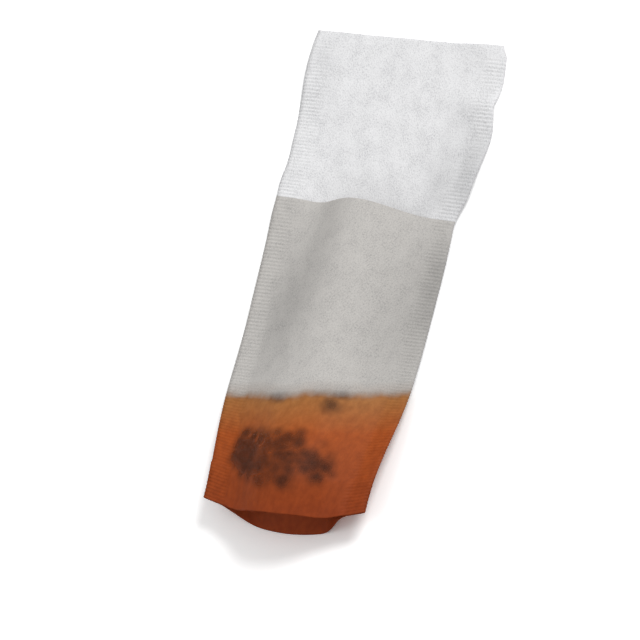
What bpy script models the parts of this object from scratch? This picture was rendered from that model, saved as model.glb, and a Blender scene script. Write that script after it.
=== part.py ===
# Tea filter bag: one strip of heat-sealable filter paper, folded into a pouch
# with a pleat at the base, crimped together along both sides, and left open at
# the mouth below a long single-ply flap. Wet tea leaves lie at the base.
#
# The filled bag lies on its back ply. +X runs across the bag, +Y from the base
# fold to the end of the flap, and +Z up out of the front ply. The origin is in
# the middle of the bag's footprint, on the surface it lies on.

import math
import random

import bmesh
import bpy
from mathutils import Euler, Matrix, Vector

MM = 0.001

# The strip of paper and its crimped seams, in millimetres
WIDTH = 55.0
FRONT_LENGTH = 91.0
FLAP_LENGTH = 49.0
PLY = 0.2
SEAM_WIDTH = 5.4
RIB_PITCH = 1.0
RIB_HEIGHT = 0.26
PLAIN_END = 3.5
GUSSET_DEPTH = 10.0
CORNER_ROUND = 1.2

# The shape that the filled pouch takes, in millimetres
FILL_HEIGHT = 16.5
MIDDLE_HEIGHT = 8.8
MOUTH_GAPE = 8.2
MOUTH_SLANT = 2.4
FILL_AT = 11.0
FILL_END = 52.0
SEAM_LIFT = 6.0
POUCH_NARROWING = 1.2
BASE_NARROWING = 3.6
CORNER_RISE = 3.5
FLAP_SHIFT = 1.15
REST_WIDTH = 26.0

# How far each crimped edge curls off the surface: (share of the bag's length, millimetres)
EDGE_CURL = {
    -1: [(0.3, 0.9), (0.46, 1.3), (0.56, 1.0), (0.65, 1.5), (0.76, 0.4), (0.82, 0.0), (0.92, 1.7), (1.0, 0.6)],
    1: [(0.34, 1.4), (0.51, 1.2), (0.6, 1.8), (0.66, 1.2), (0.73, 1.9), (0.82, 0.0), (0.88, 1.2), (0.925, 0.0),
        (1.0, 1.5)],
}

# The clump of wet leaves, in millimetres
LEAF_REACH = 26.0
LEAF_CLEARANCE = 0.6
LEAF_COUNT = 38
LEAF_LENGTH = 7.5
LEAF_WIDTH = 2.8
LEAF_THICKNESS = 0.9
LEAF_SIDE = -0.14
LEAF_SEED = 18

# How finely the sheet is divided
RIBS_PER_CELL = 2.5
COLUMNS = 10

BAG_LENGTH = FRONT_LENGTH + FLAP_LENGTH


def smooth_curve(points, at):
    """Height at one place of a smooth line through a few (place, height) points."""
    if at <= points[0][0]:
        return points[0][1]
    if at >= points[-1][0]:
        return points[-1][1]
    index = max(i for i in range(len(points) - 1) if points[i][0] <= at)

    def slope(i):
        low = points[max(i - 1, 0)]
        high = points[min(i + 1, len(points) - 1)]
        return (high[1] - low[1]) / (high[0] - low[0])

    (x0, y0), (x1, y1) = points[index], points[index + 1]
    span = x1 - x0
    t = (at - x0) / span
    rise = 3 * t ** 2 - 2 * t ** 3
    lead_in = t ** 3 - 2 * t ** 2 + t
    lead_out = t ** 3 - t ** 2
    return y0 + (y1 - y0) * rise + span * (slope(index) * lead_in + slope(index + 1) * lead_out)


def ease(t):
    """A soft step from 0 to 1."""
    t = min(max(t, 0.0), 1.0)
    return t * t * (3 - 2 * t)


# The outline and the lie of the paper

def centre_line(y):
    """The flap stands a little to the right of the filled pouch."""
    return FLAP_SHIFT * ease((y - 0.93 * FRONT_LENGTH) / (0.4 * FLAP_LENGTH))


def half_width(side, y):
    """Distance from the middle of the pouch to the crimped edge, left or right."""
    pouch = POUCH_NARROWING * (1 - ease((y - 0.98 * FRONT_LENGTH) / (0.2 * FLAP_LENGTH)))
    base = BASE_NARROWING * (1 - ease(y / FILL_END)) ** 1.5
    corner = CORNER_ROUND * ease((y - BAG_LENGTH + PLAIN_END) / PLAIN_END) * (1.0 if side > 0 else 0.2)
    return WIDTH / 2 - pouch - base - corner + side * centre_line(y)


def pouch_height(y):
    """Height of the front ply over the surface, along the middle of the pouch."""
    return smooth_curve([(0.0, FILL_HEIGHT * 0.86), (FILL_AT, FILL_HEIGHT),
                         (0.6 * FILL_END, 0.7 * FILL_HEIGHT), (FILL_END, MIDDLE_HEIGHT),
                         (0.8 * FRONT_LENGTH, 0.94 * MIDDLE_HEIGHT), (FRONT_LENGTH, MOUTH_GAPE)], y)


def seam_height(side, y):
    """Height of the underside of a crimped seam: lifted beside the filled base, curling above."""
    lift = SEAM_LIFT * (1 - ease((y - FILL_AT * 0.5) / FILL_END))
    return lift + smooth_curve(EDGE_CURL[side], y / BAG_LENGTH)


def back_height(u, y):
    """Underside of the back ply, u = -1 and 1 at the seams: flat where the bag rests."""
    side = 1 if u > 0 else -1
    flat = REST_WIDTH / WIDTH
    return seam_height(side, y) * ease((abs(u) - flat) / (1 - flat)) ** 1.3


def crown(u, y):
    """Share of the pouch height that the front ply reaches across the bag.

    Round over the filled base, and a tent that leans to the right at the mouth.
    """
    toward_mouth = ease((y - 0.5 * FILL_END) / (FRONT_LENGTH - 0.5 * FILL_END))
    full = 1 - abs(u) ** 2.4
    reach = 1.03 if u > 0 else 0.8
    tent = math.cos(math.pi / 2 * min(abs(u) / reach, 1.0)) ** 2
    return full + (tent - full) * toward_mouth


def front_height(u, y):
    """Top of the front ply. At the seams it lies on the plies below it."""
    side = 1 if u > 0 else -1
    plies = 4 if y <= GUSSET_DEPTH else 2
    edge = seam_height(side, y) + plies * PLY
    gap = 3 * PLY * (1 - u * u)
    low = edge + (back_height(u, y) - seam_height(side, y)) * (1 - crown(u, y))
    return low + gap + (pouch_height(y) - edge) * crown(u, y)


def paper_x(u, y):
    """Place across the bag of a point between the seams."""
    left = -half_width(-1, y) + SEAM_WIDTH
    right = half_width(1, y) - SEAM_WIDTH
    return left + (right - left) * (u + 1) / 2


def paper_y(u, y):
    """Place along the bag: the base corners sit high, and the mouth slants down to the right."""
    fade = 1 - ease(y / FILL_END)
    slant = ease(y / FRONT_LENGTH) if y < FRONT_LENGTH else 1 - ease((y - FRONT_LENGTH) / FLAP_LENGTH)
    u = min(max(u, -1.3), 1.3)
    return y + CORNER_RISE * u ** 2 * fade - MOUTH_SLANT / 2 * u * slant


# Stations along a seam: the crimp's half pitches, with whole cells between the
# base, the top of the pleat, the mouth and the last rib

def seam_stations():
    """Heights of all half pitches, the stations where cells end, and named stations."""
    heights = [0.0]
    cell_ends = [0]
    named = []
    halves = int(round(2 * RIBS_PER_CELL))
    for target in (GUSSET_DEPTH, FRONT_LENGTH, BAG_LENGTH - PLAIN_END):
        start = heights[-1]
        first = len(heights) - 1
        count = max(2, int(round((target - start) / (RIB_PITCH / 2))))
        heights += [start + (target - start) * (i + 1) / count for i in range(count)]
        cells = max(1, int(round(count / halves)))
        cell_ends += [first + int(round(count * (i + 1) / cells)) for i in range(cells)]
        named.append(len(heights) - 1)
    heights.append(BAG_LENGTH)
    cell_ends.append(len(heights) - 1)
    return heights, cell_ends, named


HEIGHTS, CELL_ENDS, (AT_PLEAT, AT_MOUTH, AT_LAST_RIB) = seam_stations()
AT_END = len(HEIGHTS) - 1
FOLD_STEPS = 3
TUNNEL_END = AT_PLEAT - FOLD_STEPS
ACROSS = [2 * i / COLUMNS - 1 for i in range(1, COLUMNS)]


def rib_at(station):
    """Half of a crimp rib up or down at a station, and none at the two ends of the strip."""
    if station in (0, AT_END):
        return 0.0
    return RIB_HEIGHT / 2 if station % 2 else -RIB_HEIGHT / 2


# The folded paper as one closed sheet

def seam_point(mesh, side, station, layer, edge=False):
    """A vertex of a seam: on the bag's edge or on the line where the pouch starts."""
    y = HEIGHTS[station]
    width = half_width(side, y)
    x = side * (width if edge else width - SEAM_WIDTH)
    u = side * (1.0 + (SEAM_WIDTH / (WIDTH / 2) if edge else 0.0))
    z = seam_height(side, y) + rib_at(station) + RIB_HEIGHT / 2 + layer * PLY
    return mesh.verts.new((x, paper_y(u, y), z))


def seam_line(mesh, side, first, last, layer, edge=False):
    """Vertices along a seam, by station."""
    return {station: seam_point(mesh, side, station, layer, edge) for station in range(first, last + 1)}


def grid_rows(mesh, ends, height):
    """Rows of vertices between the seams, one row at each cell end."""
    rows = []
    for station in ends:
        y = HEIGHTS[station]
        rows.append([mesh.verts.new((paper_x(u, y), paper_y(u, y), height(u, y))) for u in ACROSS])
    return rows


def cell(mesh, a, b, c, d):
    """One four-sided cell as two triangles, split the same way on both faces of a ply."""
    mesh.faces.new((a, b, c))
    mesh.faces.new((a, c, d))


def skin(mesh, rows, ends, left, right, shares_last=False):
    """Close one surface: cells between the columns, and fans out to the finer seams.

    In the first cell the fans spring from its far row, because the fold there is
    shared with the next ply, and where the last row is shared, from its near row.
    """
    for below, above, start, end in zip(rows, rows[1:], ends, ends[1:]):
        for i in range(len(below) - 1):
            cell(mesh, below[i], below[i + 1], above[i + 1], above[i])
        middle = (start + end) // 2
        if start == ends[0]:
            middle = start
        if shares_last and end == ends[-1]:
            middle = end
        for seam, low, high in ((left, below[0], above[0]), (right, below[-1], above[-1])):
            for station in range(start, end):
                tip = low if station < middle else high
                mesh.faces.new((seam[station], seam[station + 1], tip))
            mesh.faces.new((seam[middle], high, low))


def strip(mesh, line_a, line_b):
    """Faces between two lines of vertices of equal length."""
    for i in range(len(line_a) - 1):
        cell(mesh, line_a[i], line_a[i + 1], line_b[i + 1], line_b[i])


def pleat_profile(u):
    """The base across the opening: back fold, pleat crease and front fold, as (y, z)."""
    back = Vector((paper_y(u, 0.0), back_height(u, 0.0)))
    front = Vector((paper_y(u, 0.0), front_height(u, 0.0)))
    half = (front.y - back.y) / 2
    depth = math.sqrt(max(GUSSET_DEPTH ** 2 - half ** 2, 4.0))
    crease = Vector((back.x + depth, back.y + half))
    return back, crease, front


def pleat_row(mesh, share, upper, offset):
    """One row of the pleat, from a fold (share 0) to the crease (share 1)."""
    row = []
    for u in ACROSS:
        back, crease, front = pleat_profile(u)
        fold = front if upper else back
        run = (crease - fold).normalized()
        inward = Vector((-run.y, run.x)) if upper else Vector((run.y, -run.x))
        point = fold.lerp(crease, share) + inward * offset
        row.append(mesh.verts.new((paper_x(u, 0.0), point.x, point.y)))
    return row


def mitre(half_angle):
    """Distance between the two faces of a fold, measured along the line that halves it."""
    return min(PLY / max(math.sin(half_angle), 0.01), HEIGHTS[FOLD_STEPS])


def inner_corner(mesh, upper):
    """The row inside a base fold, where the cavity comes to an edge."""
    row = []
    for u in ACROSS:
        back, crease, front = pleat_profile(u)
        fold = front if upper else back
        run = (crease - fold).normalized()
        between = (run + Vector((1.0, 0.0))).normalized()
        reach = mitre(math.acos(min(1.0, run.x)) / 2)
        point = fold + between * reach
        row.append(mesh.verts.new((paper_x(u, 0.0), point.x, point.y)))
    return row


def crease_row(mesh, way):
    """The row along the pleat's crease: way 1 on its inner face, -1 on its outer face."""
    row = []
    for u in ACROSS:
        back, crease, front = pleat_profile(u)
        reach = mitre(math.atan2(crease.y - back.y, crease.x - back.x)) / 2
        row.append(mesh.verts.new((paper_x(u, 0.0), crease.x + way * reach, crease.y)))
    return row


def build_filter_bag():
    mesh = bmesh.new()
    pleat_ends = [end for end in CELL_ENDS if end <= AT_PLEAT]
    front_ends = [end for end in CELL_ENDS if end <= AT_MOUTH]

    # Lines of the two seams, by layer of paper, and the outer edge of each seam
    seams = {}
    for side in (-1, 1):
        back_fold = seam_point(mesh, side, 0, 0.5)
        front_fold = seam_point(mesh, side, 0, 3.5)
        under = {0: back_fold, **seam_line(mesh, side, 1, AT_END, 0)}
        below_pleat = seam_line(mesh, side, FOLD_STEPS, AT_PLEAT - 1, 1)
        tunnel = seam_line(mesh, side, 1, TUNNEL_END, 2)
        above_pleat = seam_line(mesh, side, FOLD_STEPS, AT_PLEAT - 1, 3)
        joined = {AT_PLEAT: seam_point(mesh, side, AT_PLEAT, 2)}
        joined.update(seam_line(mesh, side, AT_PLEAT + 1, AT_MOUTH, 1))
        flap_top = seam_line(mesh, side, AT_MOUTH + 1, AT_END, 1)
        over = {0: front_fold, **seam_line(mesh, side, 1, AT_PLEAT, 4)}
        over.update(seam_line(mesh, side, AT_PLEAT + 1, AT_MOUTH, 2))
        edge_low = seam_line(mesh, side, 0, AT_END, 0, edge=True)
        edge_high = seam_line(mesh, side, 0, AT_PLEAT, 4, edge=True)
        edge_high.update(seam_line(mesh, side, AT_PLEAT + 1, AT_MOUTH, 2, edge=True))
        edge_flap = seam_line(mesh, side, AT_MOUTH, AT_END, 1, edge=True)
        seams[side] = {
            "under": under,
            "over": over,
            "tunnel": tunnel,
            "back_inner": {**below_pleat, **joined, **flap_top},
            "front_inner": {**above_pleat, **joined},
            "edge_low": edge_low,
            "edge_high": edge_high,
            "edge_flap": edge_flap,
        }

    # The two base folds and the pleat's crease, outside and inside
    back_fold_out = pleat_row(mesh, 0.0, upper=False, offset=0.0)
    front_fold_out = pleat_row(mesh, 0.0, upper=True, offset=0.0)
    back_fold_in = inner_corner(mesh, upper=False)
    front_fold_in = inner_corner(mesh, upper=True)
    crease_out = crease_row(mesh, -1)
    crease_in = crease_row(mesh, 1)

    # Back ply, front ply and flap
    back_out = [back_fold_out] + grid_rows(mesh, CELL_ENDS[1:], back_height)
    back_in = [back_fold_in] + grid_rows(mesh, CELL_ENDS[1:], lambda u, y: back_height(u, y) + PLY)
    front_out = [front_fold_out] + grid_rows(mesh, front_ends[1:], front_height)
    front_in = [front_fold_in] + grid_rows(mesh, front_ends[1:], lambda u, y: front_height(u, y) - PLY)

    def between(name):
        return seams[-1][name], seams[1][name]

    skin(mesh, back_out, CELL_ENDS, *between("under"))
    skin(mesh, front_out, front_ends, *between("over"))
    inner_ends = [FOLD_STEPS] + CELL_ENDS[1:]
    skin(mesh, back_in, inner_ends, *between("back_inner"))
    skin(mesh, front_in, inner_ends[:len(front_ends)], *between("front_inner"))

    # The pleat: two plies inside the base, open to the outside between them
    shares = [end / AT_PLEAT for end in pleat_ends[1:-1]]
    outer_ends = pleat_ends[:-1] + [TUNNEL_END]
    inner_pleat_ends = [FOLD_STEPS] + pleat_ends[1:]
    for upper, name, fold_out, fold_in in ((False, "back_inner", back_fold_out, back_fold_in),
                                           (True, "front_inner", front_fold_out, front_fold_in)):
        outer = [fold_out] + [pleat_row(mesh, s, upper, 0.0) for s in shares] + [crease_out]
        inner = [fold_in] + [pleat_row(mesh, s, upper, PLY) for s in shares] + [crease_in]
        fold_name = "over" if upper else "under"
        left, right = ({**seams[side]["tunnel"], 0: seams[side][fold_name][0]} for side in (-1, 1))
        skin(mesh, outer, outer_ends, left, right, shares_last=True)
        skin(mesh, inner, inner_pleat_ends, *between(name), shares_last=True)

    # The crimped bands outside the seam lines
    for side in (-1, 1):
        lines = seams[side]
        low = [lines["edge_low"][i] for i in range(AT_END + 1)]
        strip(mesh, low, [lines["under"][i] for i in range(AT_END + 1)])
        high = [lines["edge_high"][i] for i in range(AT_MOUTH + 1)]
        strip(mesh, high, [lines["over"][i] for i in range(AT_MOUTH + 1)])
        flap = [lines["edge_flap"][i] for i in range(AT_MOUTH, AT_END + 1)]
        flap_inner = [lines["back_inner"][i] for i in range(AT_MOUTH, AT_END + 1)]
        strip(mesh, flap, flap_inner)
        strip(mesh, low[:AT_MOUTH], high[:AT_MOUTH])
        strip(mesh, low[AT_MOUTH:], flap)
        # The step from two plies to one at the mouth, and the ends of the band
        last = AT_MOUTH - 1
        mesh.faces.new((low[last], low[AT_MOUTH], flap[0]))
        mesh.faces.new((low[last], flap[0], high[-1]))
        mesh.faces.new((low[last], high[-1], high[last]))
        mesh.faces.new((high[-1], flap[0], flap_inner[0], lines["over"][AT_MOUTH]))
        mesh.faces.new((low[0], high[0], lines["over"][0], lines["under"][0]))
        mesh.faces.new((lines["under"][0], lines["over"][0], lines["tunnel"][1]))
        mesh.faces.new((low[-1], flap[-1], flap_inner[-1], lines["under"][AT_END]))

    # The cut edges of the paper: the rim of the mouth and the end of the flap
    def whole_row(row, name, station):
        return [seams[-1][name][station]] + row + [seams[1][name][station]]

    strip(mesh, whole_row(front_out[-1], "over", AT_MOUTH), whole_row(front_in[-1], "front_inner", AT_MOUTH))
    strip(mesh, whole_row(back_out[-1], "under", AT_END), whole_row(back_in[-1], "back_inner", AT_END))
    return mesh


# The clump of wet leaves inside the base

def cavity_point(u, y, w):
    """A point inside the pouch: w = 0 on the back ply, 1 on the front ply."""
    floor = back_height(u, y) + PLY + LEAF_CLEARANCE
    ceiling = front_height(u, y) - PLY - LEAF_CLEARANCE
    return Vector((paper_x(u, y), paper_y(u, y), floor + (ceiling - floor) * w))


def above_pleat(u):
    """Lowest place along the bag that is clear of the pleat's crease."""
    back, crease, front = pleat_profile(u)
    reach = mitre(math.atan2(crease.y - back.y, crease.x - back.x)) / 2
    return crease.x + reach + LEAF_CLEARANCE


def heap_point(a, b, c):
    """A point of the unit ball, moved to its place in the heap."""
    low = above_pleat(0.0)
    y = low + (LEAF_REACH - low) * (b + 1) / 2
    slump = 1 - 0.35 * max(b, 0.0)
    return cavity_point(LEAF_SIDE + 0.62 * a * slump, y, 0.5 + 0.42 * c)


def is_inside(point):
    """Whether a point in millimetres lies inside the paper, with its clearance."""
    left = paper_x(-1.0, point.y)
    right = paper_x(1.0, point.y)
    u = 2 * (point.x - left) / (right - left) - 1
    if abs(u) > 0.78 or point.y < above_pleat(u):
        return False
    along = 2 * point.y - paper_y(u, point.y)
    return cavity_point(u, along, 0.0).z < point.z < cavity_point(u, along, 1.0).z


def laid_in_heap(corners, place, turn):
    """Corners of a leaf at its place, drawn toward the heap's middle until the paper clears it."""
    middle = heap_point(0.0, -0.1, 0.0)
    for step in range(12):
        spot = place.lerp(middle, step * 0.05)
        size = 1 - step * 0.04
        laid = [spot + turn @ corner * size for corner in corners]
        if all(is_inside(corner) for corner in laid):
            break
    return laid


def leaf_object(chance, index):
    """One curled leaf: a flat blade with pointed ends, bent and twisted."""
    length = LEAF_LENGTH * chance.uniform(0.6, 1.15)
    width = LEAF_WIDTH * chance.uniform(0.6, 1.2)
    bend = chance.uniform(-0.3, 0.3) * length
    twist = chance.uniform(-1.8, 1.8)
    rings = 5
    mesh = bmesh.new()
    sections = []
    for i in range(1, rings):
        t = i / rings
        centre = Vector(((t - 0.5) * length, 0.0, bend * math.sin(math.pi * t)))
        half = width / 2 * math.sin(math.pi * t) ** 0.6
        turn = Matrix.Rotation(twist * (t - 0.5), 3, "X")
        corners = [(0, half, 0), (0, 0, LEAF_THICKNESS / 2), (0, -half, 0), (0, 0, -LEAF_THICKNESS / 2)]
        sections.append([mesh.verts.new(centre + turn @ Vector(corner)) for corner in corners])
    tips = [mesh.verts.new((x * length, 0.0, 0.0)) for x in (-0.5, 0.5)]
    for below, above in zip(sections, sections[1:]):
        for i in range(4):
            mesh.faces.new((below[i], below[(i + 1) % 4], above[(i + 1) % 4], above[i]))
    for i in range(4):
        mesh.faces.new((tips[0], sections[0][(i + 1) % 4], sections[0][i]))
        mesh.faces.new((tips[1], sections[-1][i], sections[-1][(i + 1) % 4]))
    bearing = chance.uniform(0, math.tau)
    rise = chance.uniform(-0.9, 0.9)
    level = math.sqrt(1 - rise * rise)
    reach = chance.uniform(0.55, 0.86)
    place = heap_point(reach * level * math.cos(bearing), reach * level * math.sin(bearing), reach * rise)
    lie = Euler((chance.uniform(-0.9, 0.9), chance.uniform(-0.5, 0.5), chance.uniform(0, math.pi)))
    turn = lie.to_matrix()
    laid = laid_in_heap([vert.co.copy() for vert in mesh.verts], place, turn)
    for vert, corner in zip(mesh.verts, laid):
        vert.co = corner
    return to_object(mesh, "leaf_{:02d}".format(index))


def drop_free_leaves(data):
    """Leave off any leaf that touches no other, so that the clump is one body."""
    mesh = bmesh.new()
    mesh.from_mesh(data)
    bodies = []
    left = set(mesh.verts)
    while left:
        body = set()
        reached = [left.pop()]
        while reached:
            vert = reached.pop()
            body.add(vert)
            near = {edge.other_vert(vert) for edge in vert.link_edges} & left
            left -= near
            reached += near
        bodies.append(body)
    clump = max(bodies, key=len)
    bmesh.ops.delete(mesh, geom=[vert for vert in mesh.verts if vert not in clump])
    mesh.to_mesh(data)
    mesh.free()


def build_tea_leaves():
    """The clump: a packed core with the curled leaves united to it."""
    chance = random.Random(LEAF_SEED)
    core = bmesh.new()
    bmesh.ops.create_icosphere(core, subdivisions=2, radius=1.0)
    for vert in core.verts:
        direction = vert.co.normalized() * chance.uniform(0.7, 0.84)
        vert.co = heap_point(*direction)
    clump = to_object(core, "tea_leaves")
    leaves = bpy.data.collections.new("leaves")
    for index in range(LEAF_COUNT):
        leaves.objects.link(leaf_object(chance, index))
    union = clump.modifiers.new("united leaves", "BOOLEAN")
    union.operation = "UNION"
    union.operand_type = "COLLECTION"
    union.collection = leaves
    union.solver = "EXACT"
    bpy.context.view_layer.update()
    shape = clump.evaluated_get(bpy.context.evaluated_depsgraph_get())
    united = bpy.data.meshes.new_from_object(shape)
    clump.modifiers.clear()
    clump.data = united
    drop_free_leaves(united)
    for leaf in list(leaves.objects):
        bpy.data.objects.remove(leaf)
    bpy.data.collections.remove(leaves)
    return clump


# Objects, materials and the origin

def to_object(mesh, name):
    """A scene object from a bmesh, in metres, with its faces pointing out."""
    bmesh.ops.recalc_face_normals(mesh, faces=mesh.faces)
    data = bpy.data.meshes.new(name)
    mesh.to_mesh(data)
    mesh.free()
    data.transform(Matrix.Scale(MM, 4))
    item = bpy.data.objects.new(name, data)
    bpy.context.scene.collection.objects.link(item)
    return item


def finish_material(item, name, colour, roughness):
    """A Principled material for one object."""
    material = bpy.data.materials.new(name)
    material.use_nodes = True
    shader = material.node_tree.nodes["Principled BSDF"]
    shader.inputs["Base Color"].default_value = (*colour, 1.0)
    shader.inputs["Roughness"].default_value = roughness
    shader.inputs["Metallic"].default_value = 0.0
    item.data.materials.clear()
    item.data.materials.append(material)


def centre_on_footprint(items):
    """Put the origin in the middle of the footprint, on the surface the bag lies on."""
    corners = [vert.co for item in items for vert in item.data.vertices]
    low = [min(corner[axis] for corner in corners) for axis in range(3)]
    high = [max(corner[axis] for corner in corners) for axis in range(3)]
    shift = Matrix.Translation((-(low[0] + high[0]) / 2, -(low[1] + high[1]) / 2, -low[2]))
    for item in items:
        item.data.transform(shift)


def main():
    for item in list(bpy.data.objects):
        bpy.data.objects.remove(item)
    bag = to_object(build_filter_bag(), "filter_bag")
    bag.data.shade_smooth()
    bag.data.set_sharp_from_angle(angle=math.radians(40.0))
    finish_material(bag, "wet_filter_paper", (0.72, 0.69, 0.64), 0.85)
    clump = build_tea_leaves()
    finish_material(clump, "wet_tea_leaves", (0.075, 0.034, 0.022), 0.55)
    centre_on_footprint([bag, clump])


main()
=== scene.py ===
import math
import random

import bmesh
import bpy
from mathutils import Matrix, Vector, noise
from mathutils.bvhtree import BVHTree


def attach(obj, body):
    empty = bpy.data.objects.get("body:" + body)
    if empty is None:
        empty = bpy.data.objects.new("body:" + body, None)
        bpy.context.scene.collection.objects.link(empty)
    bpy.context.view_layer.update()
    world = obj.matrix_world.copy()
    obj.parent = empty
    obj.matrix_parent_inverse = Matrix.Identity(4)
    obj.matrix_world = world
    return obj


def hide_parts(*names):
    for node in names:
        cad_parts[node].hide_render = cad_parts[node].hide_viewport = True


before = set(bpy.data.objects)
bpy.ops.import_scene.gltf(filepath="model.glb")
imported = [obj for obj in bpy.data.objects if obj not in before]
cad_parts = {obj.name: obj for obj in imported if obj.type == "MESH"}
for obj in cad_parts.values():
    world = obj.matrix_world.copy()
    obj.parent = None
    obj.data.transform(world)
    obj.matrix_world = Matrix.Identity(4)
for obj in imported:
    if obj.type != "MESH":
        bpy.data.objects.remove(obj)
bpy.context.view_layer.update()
bpy.ops.object.select_all(action="DESELECT")


# Camera, floor and light
# The bag lies on a white table top, and the camera looks down on it aslant, from the
# right and from below its base, with a long lens. Two soft lamps and a pale room light it.

MM = 0.001
VIEW_FROM = Vector((0.392, -0.3305, 0.8585))
VIEW_UP = Vector((-0.0833, 0.9166, 0.3908))
LOOK_AT = Vector((-7.55, -10.36, 0.0)) * MM
CAMERA_DISTANCE = 2.77
LENS = 600.0
FLOOR_SEEN = (1.3, 1.3, 1.3, 1.0)
FLOOR_LIT = (0.8, 0.8, 0.8, 1.0)
ROOM_WHITE = (1.0, 1.0, 1.0, 1.0)
ROOM_LIGHT = 0.55


def make_camera():
    """A long lens that looks at LOOK_AT from the direction VIEW_FROM."""
    bpy.ops.object.camera_add()
    camera = bpy.context.object
    camera.name = "view_camera"
    back = VIEW_FROM.normalized()
    right = VIEW_UP.cross(back).normalized()
    up = back.cross(right)
    turn = Matrix((right, up, back)).transposed().to_4x4()
    camera.matrix_world = Matrix.Translation(LOOK_AT + back * CAMERA_DISTANCE) @ turn
    camera.data.lens = LENS
    camera.data.sensor_width = 36.0
    camera.data.clip_start = 0.05
    camera.data.clip_end = 10.0
    bpy.context.scene.camera = camera


def make_floor():
    """A table top that the camera sees as white, while it lights the bag as a pale grey one."""
    bpy.ops.mesh.primitive_plane_add(size=6.0, location=(0.0, 0.0, -0.00005))
    floor = bpy.context.object
    floor.name = "table_top"
    material = bpy.data.materials.new("white_table_top")
    material.use_nodes = True
    nodes = material.node_tree.nodes
    links = material.node_tree.links
    nodes.clear()
    output = nodes.new("ShaderNodeOutputMaterial")
    path = nodes.new("ShaderNodeLightPath")
    seen = nodes.new("ShaderNodeBsdfDiffuse")
    seen.inputs["Color"].default_value = FLOOR_SEEN
    lit = nodes.new("ShaderNodeBsdfDiffuse")
    lit.inputs["Color"].default_value = FLOOR_LIT
    mix = nodes.new("ShaderNodeMixShader")
    links.new(path.outputs["Is Camera Ray"], mix.inputs["Fac"])
    links.new(lit.outputs[0], mix.inputs[1])
    links.new(seen.outputs[0], mix.inputs[2])
    links.new(mix.outputs[0], output.inputs["Surface"])
    floor.data.materials.append(material)


def make_lamp(name, place, size, power):
    """A round soft lamp that points at the bag."""
    bpy.ops.object.light_add(type="AREA", location=place)
    lamp = bpy.context.object
    lamp.name = name
    lamp.data.shape = "DISK"
    lamp.data.size = size
    lamp.data.energy = power
    lamp.rotation_euler = Vector(place).to_track_quat("Z", "Y").to_euler()


make_camera()
make_floor()
make_lamp("key_lamp", (0.45, 0.55, 0.8), 0.45, 6.5)
make_lamp("fill_lamp", (-0.5, -0.2, 0.9), 0.9, 1.6)
world = bpy.data.worlds.new("pale_room")
world.use_nodes = True
room = world.node_tree.nodes["Background"]
room.inputs["Color"].default_value = ROOM_WHITE
room.inputs["Strength"].default_value = ROOM_LIGHT
bpy.context.scene.world = world
bpy.context.scene.view_settings.view_transform = "Standard"


# Filter bag
# One strip of heat-sealable filter paper. It runs from the mouth down the front, is tucked
# in as a pleat at the base, and runs up the back to the end of the flap. Both sides are
# crimped together with fine cross ribs.

# The strip of paper and its crimped seams, in millimetres
WIDTH = 55.0
FRONT_LENGTH = 91.0
FLAP_LENGTH = 49.0
BAG_LENGTH = FRONT_LENGTH + FLAP_LENGTH
PLY = 0.2
SEAM_WIDTH = 5.4
RIB_PITCH = 1.0
RIB_HEIGHT = 0.26
PLAIN_END = 3.5
GUSSET_DEPTH = 10.0
CORNER_ROUND = 1.2
STRIP_LENGTH = BAG_LENGTH + FRONT_LENGTH + 2 * GUSSET_DEPTH
PANEL = WIDTH / 2 - SEAM_WIDTH

# The shape that the filled pouch takes, in millimetres
FILL_HEIGHT = 16.5
MIDDLE_HEIGHT = 8.8
MOUTH_GAPE = 8.2
MOUTH_SLANT = 2.4
FILL_AT = 11.0
FILL_END = 52.0
SEAM_LIFT = 6.0
POUCH_NARROWING = 1.2
BASE_NARROWING = 3.6
CORNER_RISE = 3.5
FLAP_SHIFT = 1.15
REST_WIDTH = 26.0
BASE_ROUNDNESS = 2.4
TENT_REACH = {-1: 0.8, 1: 1.03}
PLEAT_FADE = 1.5
LEAST_PLEAT = 2.0

# How far each crimped edge curls off the surface: (share of the bag's length, millimetres)
EDGE_CURL = {
    -1: [(0.3, 0.9), (0.46, 1.3), (0.56, 1.0), (0.65, 1.5), (0.76, 0.4), (0.82, 0.0), (0.92, 1.7),
         (1.0, 0.6)],
    1: [(0.34, 1.4), (0.51, 1.2), (0.6, 1.8), (0.66, 1.2), (0.73, 1.9), (0.82, 0.0), (0.88, 1.2),
        (0.925, 0.0), (1.0, 1.5)],
}

# Waves of the crimped edges across the bag: (place along the bag, outward), in millimetres
EDGE_WAVE = {
    -1: [(0.0, 0.0), (40.0, -0.6), (64.0, -0.7), (93.0, -0.3), (100.0, -0.9), (110.0, -0.5), (127.0, 0.0)],
    1: [(0.0, 0.0), (45.0, -1.0), (68.0, -0.8), (84.0, -0.5), (92.6, -1.3), (100.0, -0.6), (104.6, -0.3),
        (114.6, 0.6), (120.0, 0.2), (123.0, -0.25), (128.0, 0.3), (138.0, -0.1)],
}

# Painted shade: soft darker places painted into the paper's colour where it turns from the light: (front ply
# or not, x, y, reach across, reach along, share)
PAINTED_SHADE_SPOTS = [
    (True, -15.0, 62.0, 5.5, 18.0, 0.11),
    (True, 18.0, 60.0, 9.0, 24.0, 0.07),
    (True, 24.5, 71.0, 4.0, 14.0, 0.11),
    (False, 22.0, 102.0, 8.0, 16.0, 0.06),
    (False, 27.0, 103.0, 4.0, 12.0, 0.08),
    (False, -21.0, 133.0, 6.0, 7.0, 0.03),
]

# The paper's wall in millimetres, and how finely the sheet is divided
PAPER_THICKNESS = 0.1
ROWS_PER_RIB = 4
COLUMNS = 46

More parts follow.
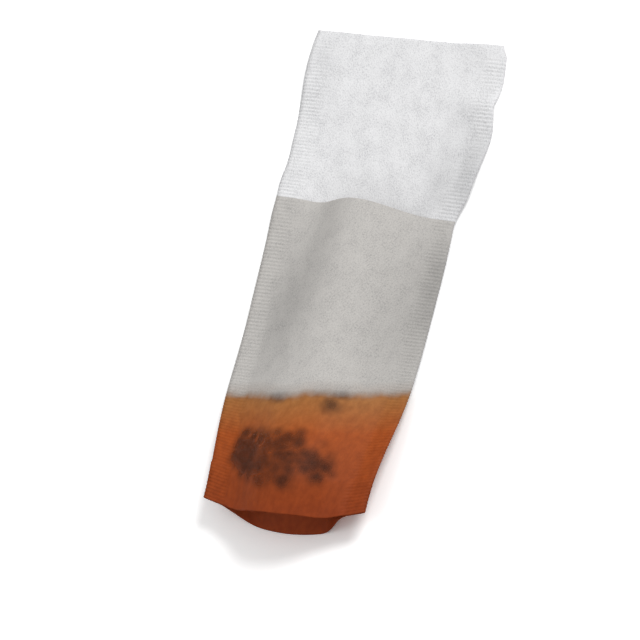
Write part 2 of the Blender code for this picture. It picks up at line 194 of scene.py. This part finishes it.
# Soft dents, which calm down on the front from CALM_FROM up and start on the flap over a
# short stretch, and how far in from the seams the ribs fade out, in millimetres
FRONT_DENTS = 0.55
FLAP_DENTS = 0.35
CALM_FROM = 60.0
CALM_OVER = 25.0
FLAP_DENTS_OVER = 12.0
RIB_FADE = 1.6

# The flap's end slants by END_SLANT millimetres for each 1 of u, and u stays within U_LIMIT
END_SLANT = 0.25
U_LIMIT = 1.3

# The level up to which the paper has soaked, on the front ply, and its wander, in millimetres
WET_LEVEL = 40.0
WET_SLOPE_X = 0.0909
WET_SLOPE_Z = -0.4255
WET_WANDER = 1.6
WANDER_LENGTH = 13.0


def ease(t):
    """A soft step from 0 to 1."""
    t = min(max(t, 0.0), 1.0)
    return t * t * (3 - 2 * t)


def smooth_curve(points, at):
    """Height at one place of a smooth line through a few (place, height) points."""
    if at <= points[0][0]:
        return points[0][1]
    if at >= points[-1][0]:
        return points[-1][1]
    index = max(i for i in range(len(points) - 1) if points[i][0] <= at)

    def slope(i):
        low = points[max(i - 1, 0)]
        high = points[min(i + 1, len(points) - 1)]
        return (high[1] - low[1]) / (high[0] - low[0])

    (x0, y0), (x1, y1) = points[index], points[index + 1]
    span = x1 - x0
    t = (at - x0) / span
    rise = 3 * t ** 2 - 2 * t ** 3
    lead_in = t ** 3 - 2 * t ** 2 + t
    lead_out = t ** 3 - t ** 2
    return y0 + (y1 - y0) * rise + span * (slope(index) * lead_in + slope(index + 1) * lead_out)


def centre_line(y):
    """The flap stands a little to the right of the filled pouch."""
    return FLAP_SHIFT * ease((y - 0.93 * FRONT_LENGTH) / (0.4 * FLAP_LENGTH))


def half_width(side, y):
    """Distance from the middle of the pouch to the crimped edge, left or right."""
    pouch = POUCH_NARROWING * (1 - ease((y - 0.98 * FRONT_LENGTH) / (0.2 * FLAP_LENGTH)))
    base = BASE_NARROWING * (1 - ease(y / FILL_END)) ** 1.5
    roundness = CORNER_ROUND if side > 0 else 0.2 * CORNER_ROUND
    corner = roundness * ease((y - BAG_LENGTH + PLAIN_END) / PLAIN_END)
    wave = smooth_curve(EDGE_WAVE[side], y)
    return WIDTH / 2 - pouch - base - corner + side * centre_line(y) + wave


def paper_x(u, y):
    """Place across the bag of a point between the seams, u = -1 at the left one and 1 at the right."""
    left = -half_width(-1, y) + SEAM_WIDTH
    right = half_width(1, y) - SEAM_WIDTH
    return left + (right - left) * (u + 1) / 2


def pouch_height(y):
    """Height of the front ply over the surface, along the middle of the pouch."""
    return smooth_curve([(0.0, FILL_HEIGHT * 0.86), (FILL_AT, FILL_HEIGHT),
                         (0.6 * FILL_END, 0.7 * FILL_HEIGHT), (FILL_END, MIDDLE_HEIGHT),
                         (0.8 * FRONT_LENGTH, 0.94 * MIDDLE_HEIGHT), (FRONT_LENGTH, MOUTH_GAPE)], y)


def seam_height(side, y):
    """Height of the underside of a crimped seam: lifted beside the filled base, curling above."""
    lift = SEAM_LIFT * (1 - ease((y - FILL_AT * 0.5) / FILL_END))
    return lift + smooth_curve(EDGE_CURL[side], y / BAG_LENGTH)


def back_height(u, y):
    """Underside of the back ply, u = -1 and 1 at the seams: flat where the bag rests."""
    side = 1 if u > 0 else -1
    flat = REST_WIDTH / WIDTH
    return seam_height(side, y) * ease((abs(u) - flat) / (1 - flat)) ** 1.3


def crown(u, y):
    """Share of the pouch height that the front ply reaches across the bag.

    Round over the filled base, and a tent that leans to the right at the mouth.
    """
    toward_mouth = ease((y - 0.5 * FILL_END) / (FRONT_LENGTH - 0.5 * FILL_END))
    full = 1 - abs(u) ** BASE_ROUNDNESS
    reach = TENT_REACH[1 if u > 0 else -1]
    tent = math.cos(math.pi / 2 * min(abs(u) / reach, 1.0)) ** 2
    return full + (tent - full) * toward_mouth


def seam_plies(y):
    """Plies of paper in a seam: two, and two more where the pleat is crimped in."""
    return 2 + 2 * (1 - ease((y - GUSSET_DEPTH) / PLEAT_FADE))


def front_height(u, y):
    """Top of the front ply. At the seams it lies on the plies below it."""
    side = 1 if u > 0 else -1
    edge = seam_height(side, y) + seam_plies(y) * PLY
    gap = 3 * PLY * (1 - u * u)
    low = edge + (back_height(u, y) - seam_height(side, y)) * (1 - crown(u, y))
    return low + gap + (pouch_height(y) - edge) * crown(u, y)


def paper_y(u, y):
    """Place along the bag: the base corners sit high, and the mouth slants down to the right."""
    fade = 1 - ease(y / FILL_END)
    slant = ease(y / FRONT_LENGTH) if y < FRONT_LENGTH else 1 - ease((y - FRONT_LENGTH) / FLAP_LENGTH)
    u = min(max(u, -U_LIMIT), U_LIMIT)
    end = END_SLANT * (U_LIMIT - u) * ease((y - 0.85 * BAG_LENGTH) / (0.15 * BAG_LENGTH))
    return y + CORNER_RISE * u ** 2 * fade - MOUTH_SLANT / 2 * u * slant + end


def pleat_depth(half):
    """How far the pleat's crease reaches up the bag, where its folds stand 2 * half apart."""
    return math.sqrt(max(GUSSET_DEPTH ** 2 - half ** 2, LEAST_PLEAT ** 2))


def rib_wave(y):
    """The crimp's cross ribs, pressed deeper in some stretches, up to the flap's plain end."""
    run = ease((BAG_LENGTH - PLAIN_END - y) / 0.8)
    pressed = 0.75 + 0.5 * noise.noise(Vector((0.0, y / 9.0, 20.0)))
    return RIB_HEIGHT / 2 * pressed * math.sin(math.tau * y / RIB_PITCH) * run


def crinkle(x, y, seed):
    """Soft dents of handled paper, from -1 to 1: long ones down the bag, and small ones across."""
    broad = noise.noise(Vector((x / 11.0, y / 19.0, seed)))
    small = noise.noise(Vector((x / 4.0, y / 6.0, seed + 7.0)))
    return broad + 0.3 * small


def ply_at(along):
    """Which panel of the folded strip a place lies on, and how far up the bag it is."""
    crease = FRONT_LENGTH + GUSSET_DEPTH
    back_fold = crease + GUSSET_DEPTH
    if along <= FRONT_LENGTH:
        return "front", FRONT_LENGTH - along
    if along <= crease:
        return "pleat_front", along - FRONT_LENGTH
    if along <= back_fold:
        return "pleat_back", back_fold - along
    return "back", along - back_fold


def seam_place(x_flat, ply, y):
    """A point of the crimped seams, on the plies that lie below it there."""
    side = 1 if x_flat > 0 else -1
    below = {"front": seam_plies(y) - 1, "pleat_front": 2, "pleat_back": 1, "back": 0}[ply]
    past_line = abs(x_flat) - PANEL
    x = side * (half_width(side, y) - SEAM_WIDTH + past_line)
    z = seam_height(side, y) + RIB_HEIGHT / 2 + (below + 0.5) * PLY + rib_wave(y)
    return Vector((x, paper_y(side * (1 + past_line / (WIDTH / 2)), y), z))


def pleat_place(u, ply, y, ribs):
    """A point of the pleat, which runs straight from a base fold in to the crease."""
    low = back_height(u, 0.0) + PLY / 2
    high = front_height(u, 0.0) - PLY / 2
    half = (high - low) / 2
    share = y / GUSSET_DEPTH
    z = (high - half * share) if ply == "pleat_front" else (low + half * share)
    x_base = paper_x(u, 0.0)
    x = x_base + (paper_x(u, y) - x_base) * abs(u) ** 6
    return Vector((x, paper_y(u, 0.0) + pleat_depth(half) * share, z + ribs))


def folded(x_flat, along):
    """Place of one point of the flat strip once the bag is folded, crimped and filled.

    along runs down the front from the mouth, in and out of the pleat, and up the back.
    """
    ply, y = ply_at(along)
    u = x_flat / PANEL
    if abs(u) > 1:
        return seam_place(x_flat, ply, y)
    fade = max(0.0, 1 - (1 - abs(u)) * PANEL / RIB_FADE)
    ribs = (rib_wave(y) + RIB_HEIGHT / 2) * fade ** 2
    if ply.startswith("pleat"):
        return pleat_place(u, ply, y, ribs)
    x = paper_x(u, y)
    to_seam = 1 - u ** 4
    if ply == "front":
        calm = 1 - 0.7 * ease((y - CALM_FROM) / CALM_OVER)
        dent = FRONT_DENTS * calm * crinkle(x, y, 1.0) * crown(u, y) * to_seam
        return Vector((x, paper_y(u, y), front_height(u, y) - PLY / 2 + ribs + dent))
    on_flap = ease((y - FRONT_LENGTH) / FLAP_DENTS_OVER)
    dent = FLAP_DENTS * (1 + crinkle(x, y, 5.0)) * on_flap * to_seam
    return Vector((x, paper_y(u, y), back_height(u, y) + PLY / 2 + ribs + dent))


def wetness(place):
    """How far below the wet line a point lies, in millimetres, with the line's slow wander."""
    level = WET_LEVEL + WET_SLOPE_X * place.x + WET_SLOPE_Z * place.z
    wander = WET_WANDER * noise.noise(Vector((place.x / WANDER_LENGTH, place.z / WANDER_LENGTH, 3.0)))
    return level + wander - place.y


def painted_shade_of(place, on_front):
    """Painted shade at a point: the share of the paper's colour that is kept, lower in the soft darker places
    where the paper turns from the light.
    """
    painted_shade = 1.0
    for front, x, y, across, length, share in PAINTED_SHADE_SPOTS:
        if front == on_front:
            away = ((place.x - x) / across) ** 2 + ((place.y - y) / length) ** 2
            painted_shade *= (1 - share * math.exp(-away)) ** 2.2
    return painted_shade


def make_bag():
    """The strip as a flat grid with its UV map, folded up and moved to the part's origin."""
    rows = int(round(STRIP_LENGTH / RIB_PITCH * ROWS_PER_RIB))
    bpy.ops.mesh.primitive_grid_add(x_subdivisions=COLUMNS, y_subdivisions=rows, size=1.0, calc_uvs=True)
    bag = bpy.context.object
    bag.name = "filter_paper"
    verts = bag.data.vertices
    depth = bag.data.attributes.new("wet_depth", "FLOAT", "POINT")
    front_ply = bag.data.attributes.new("front_ply", "FLOAT", "POINT")
    # Painted shade: the soft darker places, kept on each point for the paper's colour
    painted_shade = bag.data.attributes.new("painted_shade", "FLOAT", "POINT")
    for index, vert in enumerate(verts):
        x_flat = vert.co.x * WIDTH
        along = (0.5 - vert.co.y) * STRIP_LENGTH
        vert.co = folded(x_flat, along)
        depth.data[index].value = wetness(vert.co)
        front_ply.data[index].value = 1 - ease((along - FRONT_LENGTH) / GUSSET_DEPTH)
        painted_shade.data[index].value = painted_shade_of(vert.co, along < FRONT_LENGTH)
    xs = [vert.co.x for vert in verts]
    shift = Vector((-(min(xs) + max(xs)) / 2, -BAG_LENGTH / 2, 0.0))
    bag.data.transform(Matrix.Scale(MM, 4) @ Matrix.Translation(shift))
    return bag, shift


def shade_by_leaves(bag, pile):
    """Marks how near the wet leaves lie to each point of the lower paper, for its dark shadows."""
    shape = bmesh.new()
    shape.from_mesh(pile.data)
    tree = BVHTree.FromBMesh(shape)
    near = bag.data.attributes.new("leaf_near", "FLOAT", "POINT")
    for index, vert in enumerate(bag.data.vertices):
        if vert.co.y > SHADOWS_BELOW:
            continue
        distance = tree.find_nearest(vert.co, LEAF_SHADOW_REACH)[3]
        if distance is not None:
            near.data[index].value = 1 - ease(distance / LEAF_SHADOW_REACH)
    shape.free()


def finish_bag(bag):
    """Gives the folded sheet its paper wall."""
    bpy.context.view_layer.objects.active = bag
    solid = bag.modifiers.new("paper thickness", "SOLIDIFY")
    solid.thickness = PAPER_THICKNESS * MM
    solid.offset = 0.0
    bpy.ops.object.modifier_apply(modifier=solid.name)
    bag.data.shade_smooth()


def tint(red, green, blue):
    """A colour given in eight-bit steps, as the linear values that a shader takes."""
    return tuple(((c / 255 + 0.055) / 1.055) ** 2.4 for c in (red, green, blue)) + (1.0,)


FLAP_WHITE = tint(241, 241, 242)
# Painted shade: the front ply's colour is darker than the flap's, for the less light that comes through two
# plies and the shade on the front
FRONT_SHADED_GREY = tint(207, 204, 200)
LINE_BROWN = tint(152, 122, 98)
WET_TAN = tint(184, 122, 66)
WET_AMBER = tint(184, 90, 34)
WET_RUST = tint(160, 68, 26)
LEAF_SHADOW = tint(66, 38, 26)
LEAF_SHADOW_REACH = 3.2 * MM
WET_CLEARNESS = 0.12
LEAF_CLEARNESS = 0.34
SHADOWS_BELOW = -20.0 * MM
GRAIN_BUMP = 0.55
GRAIN_DEPTH = 0.00012
THROUGH_LIGHT = 0.22


def paper_material():
    """Fibre-grained paper: dry and white, with painted shade on the front ply and in soft darker places, or
    wet, amber and partly clear below the wet line.
    """
    material = bpy.data.materials.new("filter_paper")
    material.use_nodes = True
    nodes = material.node_tree.nodes
    links = material.node_tree.links
    nodes.clear()

    def attribute(name):
        node = nodes.new("ShaderNodeAttribute")
        node.attribute_name = name
        return node.outputs["Fac"]

    def ramp(value, stops):
        node = nodes.new("ShaderNodeValToRGB")
        while len(node.color_ramp.elements) < len(stops):
            node.color_ramp.elements.new(0.5)
        for element, (at, colour) in zip(node.color_ramp.elements, stops):
            element.position = at
            element.color = colour
        links.new(value, node.inputs["Fac"])
        return node.outputs["Color"]

    def grey(level):
        return (level, level, level, 1.0)

    def maths(operation, first, second):
        node = nodes.new("ShaderNodeMath")
        node.operation = operation
        for socket, value in zip(node.inputs, (first, second)):
            if isinstance(value, (int, float)):
                socket.default_value = value
            else:
                links.new(value, socket)
        return node.outputs[0]

    def mixed(factor, first, second, blend="MIX"):
        node = nodes.new("ShaderNodeMix")
        node.data_type = "RGBA"
        node.blend_type = blend
        for name, value in (("Factor", factor), ("A", first), ("B", second)):
            socket = [socket for socket in node.inputs if socket.name == name and socket.enabled][0]
            if isinstance(value, (int, float, tuple)):
                socket.default_value = value
            else:
                links.new(value, socket)
        return [socket for socket in node.outputs if socket.enabled][0]

    def speckle(scale, turn, detail, seed):
        """Noise on the flat paper, in steps per millimetre across and along a turned direction."""
        mapping = nodes.new("ShaderNodeMapping")
        mapping.vector_type = "TEXTURE"
        mapping.inputs["Scale"].default_value = (1 / WIDTH, 1 / STRIP_LENGTH, 1.0)
        links.new(nodes["flat paper"].outputs["UV"], mapping.inputs["Vector"])
        turned = nodes.new("ShaderNodeMapping")
        turned.inputs["Rotation"].default_value = (0.0, 0.0, turn)
        links.new(mapping.outputs[0], turned.inputs["Vector"])
        stretched = nodes.new("ShaderNodeMapping")
        stretched.inputs["Scale"].default_value = (scale[0], scale[1], 1.0)
        stretched.inputs["Location"].default_value = (seed, seed, 0.0)
        links.new(turned.outputs[0], stretched.inputs["Vector"])
        texture = nodes.new("ShaderNodeTexNoise")
        texture.noise_dimensions = "2D"
        texture.inputs["Scale"].default_value = 1.0
        texture.inputs["Detail"].default_value = detail
        texture.inputs["Roughness"].default_value = 0.6
        links.new(stretched.outputs[0], texture.inputs["Vector"])
        return texture.outputs["Fac"]

    flat = nodes.new("ShaderNodeUVMap")
    flat.name = "flat paper"

    # Dry paper: white where it is one ply; greyer and warmer where it is two, a painted shade for the less
    # light that comes through two plies and for the shade on the front
    grain = speckle((3.0, 2.2), 0.5, 3.0, 0.0)
    cloud = speckle((0.24, 0.2), 0.3, 3.0, 40.0)
    strands = speckle((2.6, 0.6), 0.6, 2.0, 80.0)
    fibre = maths("ADD", maths("MULTIPLY", grain, 0.8), maths("MULTIPLY", strands, 0.25))
    fibre = maths("ADD", fibre, maths("MULTIPLY", cloud, 0.3))
    # Painted shade: the front ply takes the darker grey
    dry = mixed(attribute("front_ply"), FLAP_WHITE, FRONT_SHADED_GREY)
    mottle = ramp(fibre, [(0.42, (0.72, 0.72, 0.73, 1.0)), (0.68, grey(1.0)), (0.9, grey(1.1))])
    dry = mixed(1.0, dry, mottle, "MULTIPLY")
    # Painted shade: the soft darker places darken the dry paper's colour
    dry = mixed(1.0, dry, attribute("painted_shade"), "MULTIPLY")

    # Wet paper: a brown wet line, then tan that deepens toward the base
    uneven = maths("MULTIPLY", maths("SUBTRACT", cloud, 0.5), 2.0)
    depth = maths("ADD", attribute("wet_depth"), uneven)
    share = maths("DIVIDE", depth, WET_LEVEL)
    wet = ramp(share, [(0.0, LINE_BROWN), (0.06, WET_TAN), (0.3, WET_AMBER), (0.9, WET_RUST)])
    blotches = speckle((0.5, 0.35), 0.3, 3.0, 200.0)
    stain = ramp(blotches, [(0.3, (0.86, 0.82, 0.78, 1.0)), (0.7, grey(1.06))])
    wet = mixed(1.0, wet, stain, "MULTIPLY")
    wet = mixed(maths("MULTIPLY", attribute("leaf_near"), 0.9), wet, LEAF_SHADOW)
    damp = ramp(maths("ADD", maths("DIVIDE", depth, 8.0), 0.5),
                [(0.1, grey(0.0)), (0.42, grey(0.22)), (0.72, grey(1.0))])
    colour = mixed(damp, dry, wet)

    height = maths("ADD", maths("MULTIPLY", grain, 0.8), maths("MULTIPLY", strands, 0.2))
    bump = nodes.new("ShaderNodeBump")
    bump.inputs["Strength"].default_value = GRAIN_BUMP
    bump.inputs["Distance"].default_value = GRAIN_DEPTH
    links.new(height, bump.inputs["Height"])

    shader = nodes.new("ShaderNodeBsdfPrincipled")
    links.new(colour, shader.inputs["Base Color"])
    links.new(bump.outputs[0], shader.inputs["Normal"])
    links.new(ramp(damp, [(0.0, grey(0.88)), (1.0, grey(0.58))]), shader.inputs["Roughness"])
    shader.inputs["Specular IOR Level"].default_value = 0.2
    through = nodes.new("ShaderNodeBsdfTranslucent")
    links.new(colour, through.inputs["Color"])
    links.new(bump.outputs[0], through.inputs["Normal"])
    sheet = nodes.new("ShaderNodeMixShader")
    sheet.inputs["Fac"].default_value = THROUGH_LIGHT
    links.new(shader.outputs[0], sheet.inputs[1])
    links.new(through.outputs[0], sheet.inputs[2])
    clear = nodes.new("ShaderNodeBsdfTransparent")
    seen = nodes.new("ShaderNodeMixShader")
    clearness = maths("ADD", WET_CLEARNESS, maths("MULTIPLY", attribute("leaf_near"), LEAF_CLEARNESS))
    links.new(maths("MULTIPLY", damp, clearness), seen.inputs["Fac"])
    links.new(sheet.outputs[0], seen.inputs[1])
    links.new(clear.outputs[0], seen.inputs[2])
    output = nodes.new("ShaderNodeOutputMaterial")
    links.new(seen.outputs[0], output.inputs["Surface"])
    return material


bag, shift = make_bag()
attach(bag, "root")
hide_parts("filter_bag")


# Tea leaves
# The wet loose leaves in the base of the pouch: dark broken leaves, curled up and packed
# together by their own weight, with three stray ones under the front ply near the wet line.

LEAF_COUNT = 130
STRAY_LEAVES = [(-7.0, 37.0), (6.5, 37.5), (7.8, 34.0)]
HEAP_TOP = 21.5
HEAP_SLOPE = 6.0
HEAP_SIDE = -0.18
LEAF_GAP = 0.35
LEAF_SEED = 5
LAY_STEPS = 16
PULL_STEP = 0.02
SHRINK_STEP = 0.045
HALF_POUCH = 21.0
LEAF_LENGTHS = (3.0, 7.4)
LEAF_WIDTHS = (2.0, 4.2)
LEAF_CUPS = (0.8, 3.0)
LEAF_THICKNESSES = (0.18, 0.4)


def cavity_point(u, y, w):
    """A point inside the pouch: w = 0 on the back ply, 1 on the front ply."""
    floor = back_height(u, y) + PLY + LEAF_GAP
    ceiling = front_height(u, y) - PLY - LEAF_GAP - FRONT_DENTS * 0.6
    return Vector((paper_x(u, y), paper_y(u, y), floor + (ceiling - floor) * w))


def above_pleat(u):
    """Lowest place along the bag that is clear of the pleat's crease."""
    half = (front_height(u, 0.0) - back_height(u, 0.0)) / 2
    return paper_y(u, 0.0) + pleat_depth(half) + LEAF_GAP


def is_inside(point):
    """Whether a point in millimetres lies inside the paper, with its gap."""
    left = paper_x(-1.0, point.y)
    right = paper_x(1.0, point.y)
    u = 2 * (point.x - left) / (right - left) - 1
    if abs(u) > 0.9 or point.y < above_pleat(u):
        return False
    along = 2 * point.y - paper_y(u, point.y)
    return cavity_point(u, along, 0.0).z < point.z < cavity_point(u, along, 1.0).z


def heap_point(a, b, w):
    """A place in the heap: a across (-1 to 1), b up the bag and w up to the front ply (0 to 1)."""
    u = HEAP_SIDE + (0.76 - 0.08 * b) * a
    low = above_pleat(u)
    top = HEAP_TOP - HEAP_SLOPE * max(u + 0.1, 0.0)
    return cavity_point(u, low + (top - low) * b, w)


def make_leaf(chance, name):
    """One broken leaf from a flat grid: pointed, cupped, twisted and crumpled."""
    bpy.ops.mesh.primitive_grid_add(x_subdivisions=8, y_subdivisions=4, size=1.0)
    leaf = bpy.context.object
    leaf.name = name
    length = chance.uniform(*LEAF_LENGTHS)
    width = chance.uniform(*LEAF_WIDTHS)
    cup = chance.uniform(*LEAF_CUPS)
    bend = chance.uniform(-0.4, 0.4) * length
    twist = chance.uniform(-2.4, 2.4)
    seed = chance.uniform(0.0, 100.0)
    for vert in leaf.data.vertices:
        t = vert.co.x + 0.5
        ragged = 1 + 0.4 * noise.noise(Vector((t * 5.0, vert.co.y * 3.0, seed)))
        half = width * (0.25 + 0.75 * math.sin(math.pi * min(max(t, 0.06), 0.94))) * ragged
        angle = vert.co.y * cup
        across = Vector((0.0, half * math.sin(angle) / cup, half * (1 - math.cos(angle)) / cup))
        crumple = 0.5 * noise.noise(Vector((t * 3.5, vert.co.y * 3.5, seed + 9.0)))
        across.z += crumple
        across.rotate(Matrix.Rotation(twist * (t - 0.5), 3, "X"))
        vert.co = Vector(((t - 0.5) * length, 0.0, bend * math.sin(math.pi * t))) + across
    solid = leaf.modifiers.new("leaf thickness", "SOLIDIFY")
    solid.thickness = chance.uniform(*LEAF_THICKNESSES)
    solid.offset = 0.0
    bpy.ops.object.modifier_apply(modifier=solid.name)
    return leaf


def lay_leaf(leaf, place, turn):
    """Puts a leaf at its place, drawn in and made smaller until the paper clears it."""
    corners = [vert.co.copy() for vert in leaf.data.vertices]
    middle = heap_point(0.0, 0.4, 0.55)
    for step in range(LAY_STEPS):
        spot = place.lerp(middle, step * PULL_STEP)
        size = 1 - step * SHRINK_STEP
        laid = [spot + turn @ corner * size for corner in corners]
        if all(is_inside(corner) for corner in laid):
            break
    for vert, corner in zip(leaf.data.vertices, laid):
        vert.co = (corner + shift) * MM


def make_pile():
    """All the leaves as one mesh: three in five lie right under the front ply."""
    chance = random.Random(LEAF_SEED)
    pieces = []
    for index in range(LEAF_COUNT + len(STRAY_LEAVES)):
        leaf = make_leaf(chance, "leaf_{:03d}".format(index))
        if index < LEAF_COUNT:
            on_top = index % 5 < 3
            w = chance.uniform(0.8, 0.95) if on_top else chance.uniform(0.05, 0.8)
            place = heap_point(chance.uniform(-1.0, 1.0), chance.uniform(0.05, 1.0), w)
            tilt = 0.35 if on_top else 1.1
            lie = (chance.uniform(-tilt, tilt), chance.uniform(-tilt, tilt) * 0.7, chance.uniform(0, math.pi))
        else:
            x, y = STRAY_LEAVES[index - LEAF_COUNT]
            place = Vector((x, y, cavity_point(x / HALF_POUCH, y, 0.86).z))
            lie = (chance.uniform(-0.3, 0.3), chance.uniform(-0.2, 0.2), chance.uniform(-0.3, 0.3))
        turn = Matrix.Rotation(lie[2], 3, "Z") @ Matrix.Rotation(lie[1], 3, "Y")
        turn = turn @ Matrix.Rotation(lie[0], 3, "X")
        lay_leaf(leaf, place, turn)
        pieces.append(leaf)
    bpy.ops.object.select_all(action="DESELECT")
    for leaf in pieces:
        leaf.select_set(True)
    bpy.context.view_layer.objects.active = pieces[0]
    bpy.ops.object.join()
    pile = bpy.context.object
    pile.name = "wet_tea_leaves"
    pile.data.shade_smooth()
    return pile


def leaf_material():
    """Dark wet leaf with redder patches, fine veins and a thin film of water."""
    material = bpy.data.materials.new("wet_tea_leaf")
    material.use_nodes = True
    nodes = material.node_tree.nodes
    links = material.node_tree.links
    shader = nodes["Principled BSDF"]
    place = nodes.new("ShaderNodeTexCoord")
    patches = nodes.new("ShaderNodeTexNoise")
    patches.inputs["Scale"].default_value = 420.0
    patches.inputs["Detail"].default_value = 4.0
    links.new(place.outputs["Object"], patches.inputs["Vector"])
    ramp = nodes.new("ShaderNodeValToRGB")
    ramp.color_ramp.elements[0].position = 0.36
    ramp.color_ramp.elements[0].color = tint(44, 27, 21)
    ramp.color_ramp.elements[1].position = 0.7
    ramp.color_ramp.elements[1].color = tint(122, 66, 38)
    links.new(patches.outputs["Fac"], ramp.inputs["Fac"])
    links.new(ramp.outputs["Color"], shader.inputs["Base Color"])
    veins = nodes.new("ShaderNodeTexNoise")
    veins.inputs["Scale"].default_value = 2600.0
    veins.inputs["Detail"].default_value = 3.0
    links.new(place.outputs["Object"], veins.inputs["Vector"])
    bump = nodes.new("ShaderNodeBump")
    bump.inputs["Strength"].default_value = 0.6
    bump.inputs["Distance"].default_value = 0.0002
    links.new(veins.outputs["Fac"], bump.inputs["Height"])
    links.new(bump.outputs[0], shader.inputs["Normal"])
    shader.inputs["Roughness"].default_value = 0.38
    shader.inputs["Coat Weight"].default_value = 0.3
    shader.inputs["Coat Roughness"].default_value = 0.2
    return material


pile = make_pile()
pile.data.materials.append(leaf_material())
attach(pile, "root")
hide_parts("tea_leaves")
shade_by_leaves(bag, pile)
finish_bag(bag)
bag.data.materials.append(paper_material())
